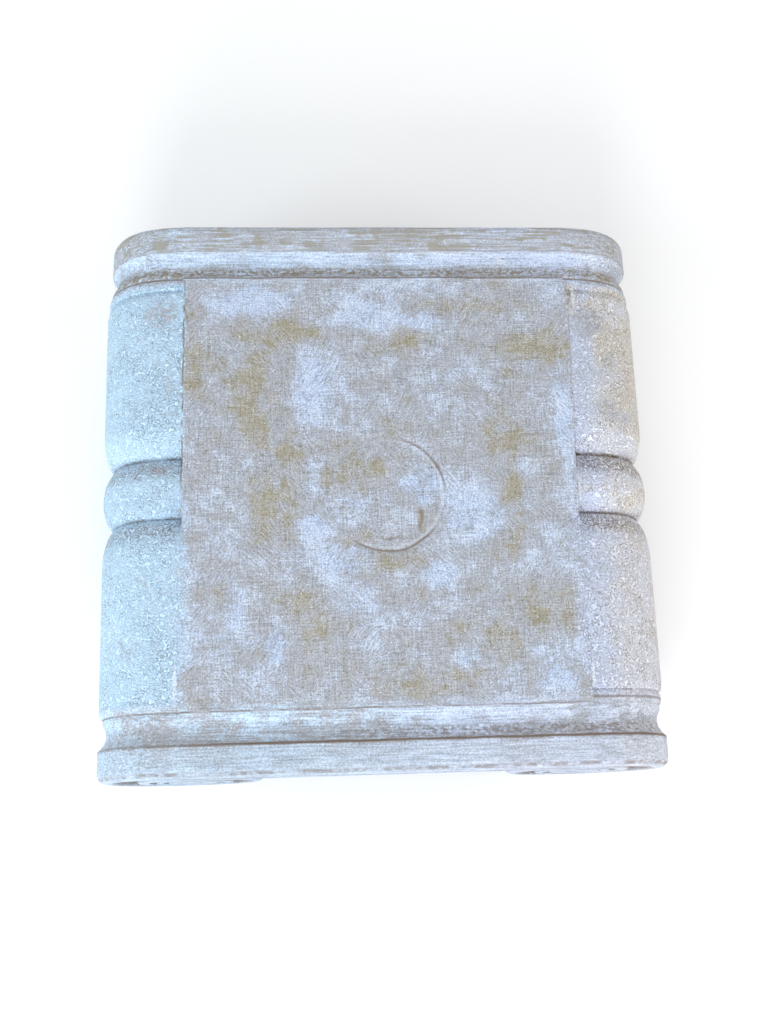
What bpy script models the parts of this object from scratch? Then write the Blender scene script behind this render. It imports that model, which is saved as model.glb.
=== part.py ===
"""Ionic column capital, cast in one piece.

The block is square in plan. Two rolls lie from front to back, each tied round its middle by a
belt, with a flat panel between them. At the front and the back a hollow and a flat rim cross the
block and curl down round its ends as volutes. A turned egg moulding, a half-round astragal and a
round neck carry it. X runs to the right, Y to the back and Z up, from the centre of the foot.
"""

import math

import bmesh
import bpy
from mathutils import Matrix, Vector

# Whole block, in metres
WIDTH = 0.464            # over the rims, from one roll's side to the other's
DEPTH = 0.462            # front face to back face
HEIGHT = 0.150           # foot of the neck to the top panel
PANEL_WIDTH = 0.322      # flat panel between the rolls

# Volute, seen from the front
VOLUTE_RISE = 0.069      # eye to the top
VOLUTE_REACH = 0.074     # eye to the outer side
TURN_RATIO = 0.66        # share of the radius that is left after one whole turn
CORNER_FULLNESS = 0.064  # share by which the upper outer quarter is squared out
CHANNEL_TURNS = 2.5      # turns of the sunk channel
RIM_FACE = 0.013         # raised edge between the outline and the channel
CHANNEL_DEPTH = 0.007
CHANNEL_SLOPE = 0.22     # share of the channel's width that each side takes to reach the floor
LOWER_FILLET = 0.006     # raised edge under the straight stretch of the channel

# Mouldings, from the middle of a roll to the face
BELT_WIDTH = 0.050
BELT_SWING = math.radians(68)
GROOVE_DEPTH = 0.010     # groove on each side of the belt
ROLL_ROUNDING = 0.032    # length over which the roll rounds down into that groove
ROLL_SWING = math.radians(75)
BEAD_WIDTH = 0.0105
BEAD_SWING = math.radians(70)
BEAD_VALLEY = 0.003      # dip on each side of the bead
COVE_WIDTH = 0.025
COVE_DEPTH = 0.0075
RIM_WIDTH = 0.025
RIM_ROUNDING = 0.008     # round edge between the rim and the face
RIM_PROUD = 0.002        # how far rim and panel stand above the rolls

# Turned part below
ECHINUS_RADIUS = 0.200   # egg moulding, at its top
ECHINUS_HEIGHT = 0.044
COLLAR_HEIGHT = 0.003    # flat step under the eggs
ASTRAGAL_HEIGHT = 0.014
ASTRAGAL_PROUD = 0.007
NECK_RADIUS = 0.147
EGGS_IN_CIRCLE = 24
EGGS_BESIDE_MIDDLE = 2   # eggs that show on each side of the middle one
EGG_WIDTH = 0.032
EGG_PROUD = 0.008
EGG_MARGIN = 0.003       # moulding left bare above and below the eggs and darts
DART_WIDTH = 0.009
DART_PROUD = 0.006

# Fineness of the round shapes
SCROLL_STEPS = 22
BELT_STEPS = 4
ROLL_STEPS = 4
BEAD_STEPS = 2
COVE_STEPS = 5
ROUNDING_STEPS = 3
CHANNEL_STEPS_PER_TURN = 18
TURNED_STEPS = 56
ECHINUS_STEPS = 6
ASTRAGAL_STEPS = 6

TAU = math.tau
EYE_X = WIDTH / 2 - VOLUTE_REACH
EYE_Z = HEIGHT - VOLUTE_RISE
REACH_SWELL = VOLUTE_REACH / (VOLUTE_RISE * TURN_RATIO ** 0.25) - 1
PANEL_EDGE_RUN = 0.001   # slope of the small step at the panel's edge
INNER_FADE = TAU / 12    # stretch over which the mouldings run out beside the egg moulding
SINK = 0.008             # how far a joined shape reaches into what carries it
CUT_MARGIN = 0.001       # how far a cutter stands out of the face that it cuts
LIMEWASH = (0.62, 0.66, 0.70, 1.0)


def spiral_radius(angle):
    """Distance from the eye to the outline, for an angle turned outwards from the top."""
    swell = 0.0
    if angle < TAU:
        swell += REACH_SWELL * math.sin(angle) ** 2
    if angle < TAU / 4:
        swell += CORNER_FULLNESS * math.sin(2 * angle) ** 2
    return VOLUTE_RISE * TURN_RATIO ** (angle / TAU) * (1 + swell)


SOFFIT_Z = EYE_Z + spiral_radius(TAU) - LOWER_FILLET


def angle_at_soffit():
    """Angle at which the outline, coming up its inner side, meets the underside of the front."""
    low, high = 0.75 * TAU, TAU
    for _ in range(40):
        middle = (low + high) / 2
        if spiral_radius(middle) * math.cos(middle) < SOFFIT_Z - EYE_Z:
            low = middle
        else:
            high = middle
    return high


def angle_at_panel():
    """Angle at which the roll comes out from under the panel's edge."""
    offset = PANEL_WIDTH / 2 + PANEL_EDGE_RUN - EYE_X
    return math.asin(max(0.0, offset / VOLUTE_RISE))


def bulge(length, drop, swing, steps):
    """Points (along, down) of an arc from its crest, which ends at length and drop."""
    points = []
    for step in range(steps + 1):
        angle = swing * step / steps
        along = length * math.sin(angle) / math.sin(swing)
        down = drop * (1 - math.cos(angle)) / (1 - math.cos(swing))
        points.append((along, down))
    return points


def belt_and_roll(bead_start):
    """Belt, groove and roll up to the bead, as (distance from the middle, inset)."""
    groove = BELT_WIDTH / 2
    crest = groove + ROLL_ROUNDING
    points = bulge(groove, GROOVE_DEPTH, BELT_SWING, BELT_STEPS)
    rise = bulge(ROLL_ROUNDING, GROOVE_DEPTH, ROLL_SWING, ROLL_STEPS)
    points += [(crest - along, down) for along, down in reversed(rise[:-1])]
    points.append((bead_start - BEAD_VALLEY, 0.0))
    return points


def bead(bead_start):
    """Bead with the dip before and after it, as (distance from the middle, inset)."""
    half = bulge(BEAD_WIDTH / 2, BEAD_VALLEY, BEAD_SWING, BEAD_STEPS)
    crest = bead_start + BEAD_WIDTH / 2
    points = [(crest - along, down) for along, down in reversed(half)]
    points += [(crest + along, down) for along, down in half[1:]]
    return points


def half_profile():
    """Stations from the middle to the face: (distance, drop of the top, inset of the roll)."""
    rim_start = DEPTH / 2 - RIM_WIDTH
    cove_start = rim_start - COVE_WIDTH
    bead_start = cove_start - BEAD_WIDTH
    stations = []
    for along, down in belt_and_roll(bead_start) + bead(bead_start):
        stations.append((along, 0.0, RIM_PROUD + down))
    for step in range(1, COVE_STEPS):
        share = step / COVE_STEPS
        depth = COVE_DEPTH * (1 - (2 * share - 1) ** 2)
        valley = RIM_PROUD + BEAD_VALLEY if share < 0.5 else 0.0
        stations.append((cove_start + COVE_WIDTH * share, depth, max(depth, valley)))
    stations.append((rim_start, 0.0, 0.0))
    flat_end = DEPTH / 2 - RIM_ROUNDING
    for along, down in bulge(RIM_ROUNDING, RIM_ROUNDING, TAU / 4, ROUNDING_STEPS):
        stations.append((flat_end + along, down, down))
    return stations


def cross_section(y, top_drop, roll_inset):
    """Closed outline of the block at y, from the right of the panel round to its left."""
    first, last = angle_at_panel(), angle_at_soffit()
    right = [Vector((PANEL_WIDTH / 2, y, HEIGHT - top_drop))]
    for step in range(SCROLL_STEPS + 1):
        angle = first + (last - first) * step / SCROLL_STEPS
        fade = min(1.0, (last - angle) / INNER_FADE)
        radius = spiral_radius(angle) - roll_inset * fade
        x = EYE_X + radius * math.sin(angle)
        right.append(Vector((x, y, EYE_Z + radius * math.cos(angle))))
    return right + [Vector((-point.x, y, point.z)) for point in reversed(right)]


def loft(mesh_data, sections):
    """Close a mesh over outlines with equally many points, with a flat face at each end."""
    rings = [[mesh_data.verts.new(point) for point in section] for section in sections]
    count = len(rings[0])
    for ring, following in zip(rings, rings[1:]):
        for corner in range(count):
            after = (corner + 1) % count
            corners = (ring[corner], ring[after], following[after], following[corner])
            mesh_data.faces.new(corners)
    mesh_data.faces.new(reversed(rings[0]))
    mesh_data.faces.new(rings[-1])
    bmesh.ops.recalc_face_normals(mesh_data, faces=mesh_data.faces)


def add_object(name, mesh_data, collection):
    """Turn a bmesh into an object in the collection."""
    mesh = bpy.data.meshes.new(name)
    mesh_data.to_mesh(mesh)
    mesh_data.free()
    made = bpy.data.objects.new(name, mesh)
    collection.objects.link(made)
    return made


def make_block(collection):
    """Panel, rolls and rims: one loft along Y through every station of the profile."""
    half = half_profile()
    stations = [(-along, top, roll) for along, top, roll in reversed(half)]
    stations += half[1:]
    mesh_data = bmesh.new()
    loft(mesh_data, [cross_section(*station) for station in stations])
    return add_object("capital", mesh_data, collection)


def channel_edges():
    """Outer and inner edge points (x, z) of the channel, from the right eye to the middle."""
    edges = []
    steps = round(CHANNEL_TURNS * CHANNEL_STEPS_PER_TURN)
    for step in range(steps, -1, -1):
        angle = CHANNEL_TURNS * TAU * step / steps
        outer = spiral_radius(angle) - RIM_FACE * TURN_RATIO ** (angle / TAU)
        inner = spiral_radius(angle + TAU)
        direction = Vector((math.sin(angle), math.cos(angle)))
        eye = Vector((EYE_X, EYE_Z))
        edges.append((eye + direction * outer, eye + direction * inner))
    return edges


def channel_section(outer, inner, face_y, inward):
    """Cross-section of the channel: open at the face and narrower at its floor."""
    floor_outer = outer.lerp(inner, CHANNEL_SLOPE)
    floor_inner = inner.lerp(outer, CHANNEL_SLOPE)
    open_y = face_y - inward * CUT_MARGIN
    floor_y = face_y + inward * CHANNEL_DEPTH
    return [
        Vector((outer.x, open_y, outer.y)),
        Vector((inner.x, open_y, inner.y)),
        Vector((floor_inner.x, floor_y, floor_inner.y)),
        Vector((floor_outer.x, floor_y, floor_outer.y)),
    ]


def make_channels(collection):
    """Cutters for the sunk channel that runs from eye to eye, on the front and on the back."""
    right = channel_edges()
    left = []
    for outer, inner in reversed(right):
        left.append((Vector((-outer.x, outer.y)), Vector((-inner.x, inner.y))))
    cutters = []
    for name, inward in (("front_channel", 1.0), ("back_channel", -1.0)):
        face_y = -inward * DEPTH / 2
        mesh_data = bmesh.new()
        sections = [channel_section(o, i, face_y, inward) for o, i in right + left]
        loft(mesh_data, sections)
        cutters.append(add_object(name, mesh_data, collection))
    return cutters


def turned_profile():
    """Radius and height of the turned part, from the top down to the foot."""
    collar_radius = NECK_RADIUS + ASTRAGAL_PROUD
    points = [(0.0, SOFFIT_Z + SINK), (ECHINUS_RADIUS, SOFFIT_Z + SINK)]
    overhang = ECHINUS_RADIUS - collar_radius
    for along, down in bulge(ECHINUS_HEIGHT, overhang, TAU / 4, ECHINUS_STEPS):
        points.append((ECHINUS_RADIUS - down, SOFFIT_Z - along))
    astragal_top = SOFFIT_Z - ECHINUS_HEIGHT - COLLAR_HEIGHT
    points.append((collar_radius, astragal_top))
    for step in range(1, ASTRAGAL_STEPS):
        angle = TAU / 2 * step / ASTRAGAL_STEPS
        radius = NECK_RADIUS + ASTRAGAL_PROUD * (1 + math.sin(angle))
        height = astragal_top - ASTRAGAL_HEIGHT / 2 * (1 - math.cos(angle))
        points.append((radius, height))
    points.append((NECK_RADIUS, astragal_top - ASTRAGAL_HEIGHT))
    points.append((NECK_RADIUS, 0.0))
    points.append((0.0, 0.0))
    return points


def make_turned_part(collection):
    """Egg moulding, astragal and neck, turned round the upright axis."""
    mesh_data = bmesh.new()
    verts = [mesh_data.verts.new((radius, 0.0, z)) for radius, z in turned_profile()]
    for upper, lower in zip(verts, verts[1:]):
        mesh_data.edges.new((upper, lower))
    turned = add_object("turned_part", mesh_data, collection)
    screw = turned.modifiers.new("Turn", "SCREW")
    screw.steps = TURNED_STEPS
    screw.render_steps = TURNED_STEPS
    screw.use_merge_vertices = True
    screw.merge_threshold = 0.0001
    return turned


def echinus_frame(angle):
    """Place half-way down the egg moulding: X along it, Y up its slope and Z out of it."""
    overhang = ECHINUS_RADIUS - NECK_RADIUS - ASTRAGAL_PROUD
    fall = math.asin(0.5)
    radius = ECHINUS_RADIUS - overhang * (1 - math.cos(fall))
    height = SOFFIT_Z - ECHINUS_HEIGHT / 2
    outwards = Vector((math.cos(angle), math.sin(angle), 0.0))
    along = Vector((-outwards.y, outwards.x, 0.0))
    slope = Vector((ECHINUS_HEIGHT * math.cos(fall), overhang * math.sin(fall))).normalized()
    up = Vector((outwards.x * slope.y, outwards.y * slope.y, slope.x))
    normal = along.cross(up)
    frame = Matrix((along, up, normal)).transposed().to_4x4()
    frame.translation = Vector((outwards.x * radius, outwards.y * radius, height))
    return frame


def add_knob(mesh_data, frame, width, length, proud):
    """Half-sunk ellipsoid on the egg moulding."""
    size = Matrix.Diagonal((width / 2, length / 2, proud, 1.0))
    matrix = frame @ size
    bmesh.ops.create_uvsphere(mesh_data, u_segments=12, v_segments=7, radius=1.0, matrix=matrix)


def make_eggs(collection):
    """Eggs with darts between them, where the moulding shows between the volutes."""
    mesh_data = bmesh.new()
    pitch = TAU / EGGS_IN_CIRCLE
    length = ECHINUS_HEIGHT - 2 * EGG_MARGIN
    beside = EGGS_BESIDE_MIDDLE
    for middle in (-TAU / 4, TAU / 4):
        for place in range(-beside, beside + 1):
            frame = echinus_frame(middle + place * pitch)
            add_knob(mesh_data, frame, EGG_WIDTH, length, EGG_PROUD)
        for place in range(-beside, beside):
            frame = echinus_frame(middle + (place + 0.5) * pitch)
            add_knob(mesh_data, frame, DART_WIDTH, length, DART_PROUD)
    return add_object("eggs_and_darts", mesh_data, collection)


def add_boolean(target, tool, operation):
    """Join or cut with another object."""
    modifier = target.modifiers.new(tool.name, "BOOLEAN")
    modifier.operation = operation
    modifier.solver = "EXACT"
    modifier.object = tool
    tool.hide_render = True
    tool.display_type = "WIRE"


def paint_material():
    """Pale, worn limewash over a cast body."""
    material = bpy.data.materials.new("worn_limewash")
    material.use_nodes = True
    shader = material.node_tree.nodes["Principled BSDF"]
    shader.inputs["Base Color"].default_value = LIMEWASH
    shader.inputs["Roughness"].default_value = 0.85
    shader.inputs["Metallic"].default_value = 0.0
    return material


def new_collection(name):
    collection = bpy.data.collections.new(name)
    bpy.context.scene.collection.children.link(collection)
    return collection


def main():
    for existing in list(bpy.data.objects):
        bpy.data.objects.remove(existing, do_unlink=True)
    parts = new_collection("column_capital")
    tools = new_collection("cutters")
    capital = make_block(parts)
    add_boolean(capital, make_turned_part(tools), "UNION")
    add_boolean(capital, make_eggs(tools), "UNION")
    for channel in make_channels(tools):
        add_boolean(capital, channel, "DIFFERENCE")
    capital.data.materials.append(paint_material())
    capital.data.shade_smooth()
    capital.data.set_sharp_from_angle(angle=math.radians(30))


main()
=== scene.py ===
"""Looks of the Ionic column capital: its finished surface, worn limewash, light and camera.

The surface repeats the solid's own sizes at a finer step: softened mouldings, sunk spiral channels
with a boss in each eye, and an egg moulding with shells and darts. The accidents of this one cast
are added: an askew panel with a ring cut into it, a narrower far rim and general unevenness.
Everything is in metres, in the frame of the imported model: X to the right, Y to the back, Z up from
the foot of the neck.
"""

import math

import bpy
import numpy as np
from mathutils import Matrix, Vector, noise
from mathutils.geometry import delaunay_2d_cdt

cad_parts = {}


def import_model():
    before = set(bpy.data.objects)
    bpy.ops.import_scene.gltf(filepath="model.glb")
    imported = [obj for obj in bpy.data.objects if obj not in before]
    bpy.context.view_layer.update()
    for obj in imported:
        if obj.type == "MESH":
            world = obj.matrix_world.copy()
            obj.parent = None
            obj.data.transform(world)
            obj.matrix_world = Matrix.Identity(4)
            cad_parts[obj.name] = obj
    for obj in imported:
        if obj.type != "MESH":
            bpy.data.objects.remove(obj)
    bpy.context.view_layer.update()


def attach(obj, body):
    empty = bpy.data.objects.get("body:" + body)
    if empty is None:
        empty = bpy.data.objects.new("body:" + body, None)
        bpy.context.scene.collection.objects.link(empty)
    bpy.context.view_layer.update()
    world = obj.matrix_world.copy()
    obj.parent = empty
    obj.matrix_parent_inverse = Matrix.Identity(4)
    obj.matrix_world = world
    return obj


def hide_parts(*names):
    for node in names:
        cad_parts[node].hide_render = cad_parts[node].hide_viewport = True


# Sizes of the solid

WIDTH = 0.464
DEPTH = 0.462
HEIGHT = 0.150
PANEL_WIDTH = 0.322

VOLUTE_RISE = 0.069
VOLUTE_REACH = 0.074
TURN_RATIO = 0.66
CORNER_FULLNESS = 0.064
CHANNEL_TURNS = 2.5
RIM_FACE = 0.013
CHANNEL_DEPTH = 0.007
CHANNEL_SLOPE = 0.22
LOWER_FILLET = 0.006

BELT_WIDTH = 0.050
BELT_SWING = math.radians(68)
GROOVE_DEPTH = 0.010
ROLL_ROUNDING = 0.032
ROLL_SWING = math.radians(75)
BEAD_WIDTH = 0.0105
BEAD_SWING = math.radians(70)
BEAD_VALLEY = 0.0018
COVE_WIDTH = 0.025
COVE_DEPTH = 0.0068
RIM_WIDTH = 0.025
RIM_ROUNDING = 0.008
RIM_PROUD = 0.002

ECHINUS_RADIUS = 0.200
ECHINUS_HEIGHT = 0.044
COLLAR_HEIGHT = 0.003
ASTRAGAL_HEIGHT = 0.014
ASTRAGAL_PROUD = 0.007
NECK_RADIUS = 0.147
EGGS_IN_CIRCLE = 24
EGGS_BESIDE_MIDDLE = 2
EGG_WIDTH = 0.032
EGG_PROUD = 0.008
EGG_MARGIN = 0.003
DART_WIDTH = 0.009
DART_PROUD = 0.006
SINK = 0.008

TAU = math.tau
EYE_X = WIDTH / 2 - VOLUTE_REACH
EYE_Z = HEIGHT - VOLUTE_RISE
REACH_SWELL = VOLUTE_REACH / (VOLUTE_RISE * TURN_RATIO ** 0.25) - 1
INNER_FADE = TAU / 12
RIM_START = DEPTH / 2 - RIM_WIDTH
COVE_START = RIM_START - COVE_WIDTH
BEAD_START = COVE_START - BEAD_WIDTH

# Sizes of the finish

PANEL_STEP_RUN = 0.0012     # width of the step at the panel's edge
PANEL_SKEW = 0.012          # the panel sits a little askew between the rolls
PANEL_RAGGED = 0.0007       # how far its edges wander
RAGGED_WAVES = (0.014, 0.004)  # lengths of the waves in which they wander
ROLL_PROUD = 0.0016         # the finished rolls stand this much prouder than the solid's
ROLL_FADES = (0.004, 0.009)  # lengths over which this ends, at the near and the far end
FADED_BEAD = 0.0004         # how deep the valleys beside the faded near left bead are
FAR_PINCH = (0.0045, 0.0022)  # how much further in the far rim's left and right ends lie
PINCH_RUN = 0.03            # from the far hollow on it grows over this length
EYE_BOSS = 0.0115           # radius of the round boss in a volute's eye
EYE_SINK = 0.0018           # how deep the line round the boss is cut
EYE_LINE = 0.002            # width of that line's outer slope
EYE_REACH = 0.0155          # finer points reach this far round each eye
WEAR = 0.0005               # general unevenness of the casting, always inwards
WEAR_WAVES = (0.045, 0.012)  # lengths of its long and its short waves
WEAR_START = 0.004          # it starts at the foot and is full from this height on
RING_CENTRE = (0.0039, -0.0092)  # x and y of the ring that is cut into the panel
# It is clear on two arcs only: angle of the middle and half the length of each.
RING_ARCS = ((math.radians(38), math.radians(42)), (math.radians(-80), math.radians(60)))
RING_FAINT = 0.15           # share of its depth elsewhere
RING_RADIUS = 0.0476
RING_WIDTH = 0.0016         # from the middle of its groove to either side
RING_DEPTH = 0.0006
RING_WANDER = 0.0010        # how far it strays from a true circle
RING_MARGIN = 0.008         # finer faces reach this far outside the ring

SCROLL_STEPS = 116
PANEL_STEPS = 38
SOFFIT_STEPS = 24
CHANNEL_STEPS_PER_TURN = 96
EGG_STEPS = 30              # across one egg and its dart
RING_STEPS = 160


def spiral_radius(angle):
    """Distance from the eye to the outline, for an angle turned outwards from the top."""
    angle = np.asarray(angle, dtype=float)
    swell = np.where(angle < TAU, REACH_SWELL * np.sin(angle) ** 2, 0.0)
    swell = swell + np.where(angle < TAU / 4, CORNER_FULLNESS * np.sin(2 * angle) ** 2, 0.0)
    return VOLUTE_RISE * TURN_RATIO ** (angle / TAU) * (1 + swell)


SOFFIT_Z = EYE_Z + float(spiral_radius(TAU)) - LOWER_FILLET


def angle_at_soffit():
    """Angle at which the outline, coming up its inner side, meets the underside of the front."""
    low, high = 0.75 * TAU, TAU
    for _ in range(40):
        middle = (low + high) / 2
        if float(spiral_radius(middle)) * math.cos(middle) < SOFFIT_Z - EYE_Z:
            low = middle
        else:
            high = middle
    return high


LAST_ANGLE = angle_at_soffit()


def ease(share):
    """Smooth step from 0 to 1, held level outside that range."""
    share = np.clip(share, 0.0, 1.0)
    return share * share * (3 - 2 * share)


def bulge(length, drop, swing, steps):
    """Points (along, down) of an arc from its crest, which ends at length and drop."""
    angle = np.linspace(0.0, swing, steps + 1)
    along = length * np.sin(angle) / math.sin(swing)
    down = drop * (1 - np.cos(angle)) / (1 - math.cos(swing))
    return list(zip(along, down))


# Block: panel, rolls and rims


def half_profile():
    """Stations from the middle to the face: (distance, drop of the top, inset of the roll)."""
    groove = BELT_WIDTH / 2
    crest = groove + ROLL_ROUNDING
    stations = []
    for along, down in bulge(groove, GROOVE_DEPTH, BELT_SWING, 12):
        stations.append((along, 0.0, RIM_PROUD + down))
    for along, down in reversed(bulge(ROLL_ROUNDING, GROOVE_DEPTH, ROLL_SWING, 14)[:-1]):
        stations.append((crest - along, 0.0, RIM_PROUD + down))
    roll_end = BEAD_START - BEAD_VALLEY
    for along in np.linspace(crest, roll_end, 22)[1:]:
        stations.append((along, 0.0, RIM_PROUD))
    bead_crest = BEAD_START + BEAD_WIDTH / 2
    half_bead = bulge(BEAD_WIDTH / 2, BEAD_VALLEY, BEAD_SWING, 5)
    for along, down in reversed(half_bead):
        stations.append((bead_crest - along, 0.0, RIM_PROUD + down))
    for along, down in half_bead[1:]:
        stations.append((bead_crest + along, 0.0, RIM_PROUD + down))
    for share in np.linspace(0.0, 1.0, 17)[1:-1]:
        depth = COVE_DEPTH * (1 - (2 * share - 1) ** 2)
        valley = RIM_PROUD + BEAD_VALLEY if share < 0.5 else 0.0
        stations.append((COVE_START + COVE_WIDTH * share, depth, max(depth, valley)))
    flat_end = DEPTH / 2 - RIM_ROUNDING
    for along in np.linspace(RIM_START, flat_end, 7)[:-1]:
        stations.append((along, 0.0, 0.0))
    for along, down in bulge(RIM_ROUNDING, RIM_ROUNDING, TAU / 4, 9):
        stations.append((flat_end + along, down, down))
    return stations


def panel_edge(y, side):
    """Place of the panel's left (-1) or right (1) edge at y: askew and slightly ragged."""
    long_wave, short_wave = RAGGED_WAVES
    ragged = noise.noise(Vector((side * 3.0, y / long_wave, 0.5)))
    ragged += 0.5 * noise.noise(Vector((side * 3.0, y / short_wave, 4.5)))
    level = ease((BEAD_START - abs(y)) / 0.004)
    return side * PANEL_WIDTH / 2 + (PANEL_SKEW * y + PANEL_RAGGED * ragged) * float(level)


def far_pinch(y, side, angle):
    """How much further in the outline lies towards the far rim, at each angle of a scroll."""
    most = FAR_PINCH[0] if side < 0 else FAR_PINCH[1]
    return most * float(ease((y - COVE_START) / PINCH_RUN)) * np.sin(angle) ** 2 * (angle < TAU / 2)


def scroll_side(y, roll_inset, side, edge, panel_z):
    """Points (x, z) from the panel's edge down round one scroll to the underside."""
    first_angle = math.asin((abs(edge) + PANEL_STEP_RUN - EYE_X) / VOLUTE_RISE)
    angle = np.linspace(first_angle, LAST_ANGLE, SCROLL_STEPS + 1)
    fade = np.clip((LAST_ANGLE - angle) / INNER_FADE, 0.0, 1.0)
    near_left = side < 0 and y < 0
    roll_end = COVE_START if near_left else BEAD_START
    on_roll = float(ease((roll_end - abs(y)) / ROLL_FADES[int(y > 0)]))
    if near_left and BEAD_START - BEAD_VALLEY < abs(y) < COVE_START - 0.0005:
        roll_inset = min(roll_inset, RIM_PROUD + FADED_BEAD)
    pinch = far_pinch(y, side, angle)
    inset = (roll_inset - ROLL_PROUD * on_roll + pinch) * fade
    radius = spiral_radius(angle) - inset
    scroll_x = side * (EYE_X + radius * np.sin(angle))
    scroll_z = EYE_Z + radius * np.cos(angle)
    step_x = edge + (scroll_x[0] - edge) * np.array([0.3, 0.7])
    step_z = panel_z + (scroll_z[0] - panel_z) * np.array([0.2, 0.75])
    return np.stack([np.append(step_x, scroll_x), np.append(step_z, scroll_z)], axis=1)


def block_ring(y, top_drop, roll_inset):
    """Points round the block at y: panel, right scroll, underside and left scroll."""
    panel_z = HEIGHT - top_drop
    edges = [panel_edge(y, -1.0), panel_edge(y, 1.0)]
    panel_x = np.linspace(edges[0], edges[1], PANEL_STEPS + 1)
    panel = np.stack([panel_x, np.full_like(panel_x, panel_z)], axis=1)
    right = scroll_side(y, roll_inset, 1.0, edges[1], panel_z)
    left = scroll_side(y, roll_inset, -1.0, edges[0], panel_z)[::-1]
    soffit_x = np.linspace(right[-1, 0], left[0, 0], SOFFIT_STEPS + 1)[1:-1]
    soffit = np.stack([soffit_x, np.full_like(soffit_x, SOFFIT_Z)], axis=1)
    ring = np.concatenate([panel, right, soffit, left])
    return np.insert(ring, 1, y, axis=1)


# Faces with their channels


def channel_depth(x, z):
    """How deep the front is sunk at each point (x, z)."""
    away = np.abs(x) - EYE_X
    up = z - EYE_Z
    turned = np.arctan2(away, up) % TAU
    distance = np.hypot(away, up)
    depth = np.zeros_like(distance)
    for turn in range(math.ceil(CHANNEL_TURNS)):
        angle = turned + turn * TAU
        outer = spiral_radius(angle) - RIM_FACE * TURN_RATIO ** (angle / TAU)
        inner = spiral_radius(angle + TAU)
        share = (outer - distance) / (outer - inner)
        side = np.minimum(share, 1 - share) / CHANNEL_SLOPE
        end = ease((CHANNEL_TURNS * TAU - angle) / (TAU / 16))
        depth = np.maximum(depth, CHANNEL_DEPTH * ease(side) * end)
    straight = (away < 0) & ((turned < TAU / 2) | (distance > spiral_radius(turned)))
    straight &= up > 0
    outer = HEIGHT - RIM_FACE
    inner = EYE_Z + float(spiral_radius(TAU))
    share = (outer - z) / (outer - inner)
    across = CHANNEL_DEPTH * ease(np.minimum(share, 1 - share) / CHANNEL_SLOPE)
    depth = np.where(straight, across, depth)
    boss = np.where(
        distance < EYE_BOSS,
        EYE_SINK * ease((distance / EYE_BOSS) ** 2),
        EYE_SINK * (1 - ease((distance - EYE_BOSS) / EYE_LINE)),
    )
    return np.maximum(depth, boss)


def beside_eyes(radius, angle):
    """The point (x, z) at a radius and angle from the right eye, and its twin at the left one."""
    x = EYE_X + radius * math.sin(angle)
    z = EYE_Z + radius * math.cos(angle)
    return [(x, z), (-x, z)]


def face_points():
    """Points (x, z) over one face, in rows that follow the channel."""
    across = np.array([0.25, 0.55, 0.8, 1.0])
    sides = np.array([0.0, 0.05, 0.1, 0.16, 0.22, 0.35, 0.5, 0.65, 0.78, 0.84, 0.9, 0.95])
    points = []
    for step in range(3 * CHANNEL_STEPS_PER_TURN):
        angle = step * TAU / CHANNEL_STEPS_PER_TURN
        rim = RIM_FACE * TURN_RATIO ** (angle / TAU)
        outline = float(spiral_radius(angle))
        start = RIM_ROUNDING if angle < LAST_ANGLE else 0.0
        if start < rim:
            radii = list(outline - start - (rim - start) * across[:-1])
        else:
            radii = []
        inner = float(spiral_radius(angle + TAU))
        radii += list(outline - rim - (outline - rim - inner) * sides)
        radii.append(inner)
        for radius in radii:
            if angle > LAST_ANGLE or radius < outline - start * 1.02:
                points += beside_eyes(radius, angle)
    lower = EYE_Z + float(spiral_radius(TAU))
    outer = HEIGHT - RIM_FACE
    rows = list(HEIGHT - RIM_ROUNDING - (RIM_FACE - RIM_ROUNDING) * across[:-1])
    rows += list(outer - (outer - lower) * sides) + [lower, lower - LOWER_FILLET * 0.5]
    for x in np.linspace(-EYE_X, EYE_X, 131)[1:-1]:
        points += [(x, z) for z in rows if z >= lower or abs(x) < 0.12]
    for radius in np.linspace(0.0, EYE_REACH, 10):
        places = max(1, round(radius / EYE_REACH * 48))
        for angle in np.linspace(0.0, TAU, places, endpoint=False):
            points += beside_eyes(radius, angle)
    return points


def pinched(points, y):
    """The points (x, z) of a face, drawn in towards the eyes as its outline is at y."""
    side = np.sign(points[:, 0])
    away = np.abs(points[:, 0]) - EYE_X
    up = points[:, 1] - EYE_Z
    angle = np.arctan2(away, up) % TAU
    left = far_pinch(y, -1.0, angle)
    right = far_pinch(y, 1.0, angle)
    scale = 1 - np.where(side < 0, left, right) / (spiral_radius(angle) - RIM_ROUNDING)
    return np.stack([side * (EYE_X + away * scale), EYE_Z + up * scale], axis=1)


def fill(outline, inner):
    """Triangles between a flat outline and the points inside it: (inner points, triangles)."""
    inner = list(inner)
    flat = [Vector(point) for point in outline] + [Vector(point) for point in inner]
    border = list(range(len(outline)))
    made = delaunay_2d_cdt(flat, [], [border], 1, 0.0002)
    verts, triangles, origins = made[0], made[2], made[3]
    index = []
    extra = []
    for place, sources in enumerate(origins):
        if sources:
            index.append(min(sources))
        else:
            index.append(len(flat) + len(extra))
            extra.append(tuple(verts[place]))
    inner += extra
    triangles = [[index[corner] for corner in triangle] for triangle in triangles]
    return np.array(inner), triangles


# Ring in the panel


def ring_cut(angle):
    """How deep the ring is cut at an angle, as a share of its full depth."""
    cut = RING_FAINT
    for middle, half in RING_ARCS:
        away = (angle - middle + TAU / 2) % TAU - TAU / 2
        cut = max(cut, float(ease((half - abs(away)) / (0.5 * half))))
    return cut


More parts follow.
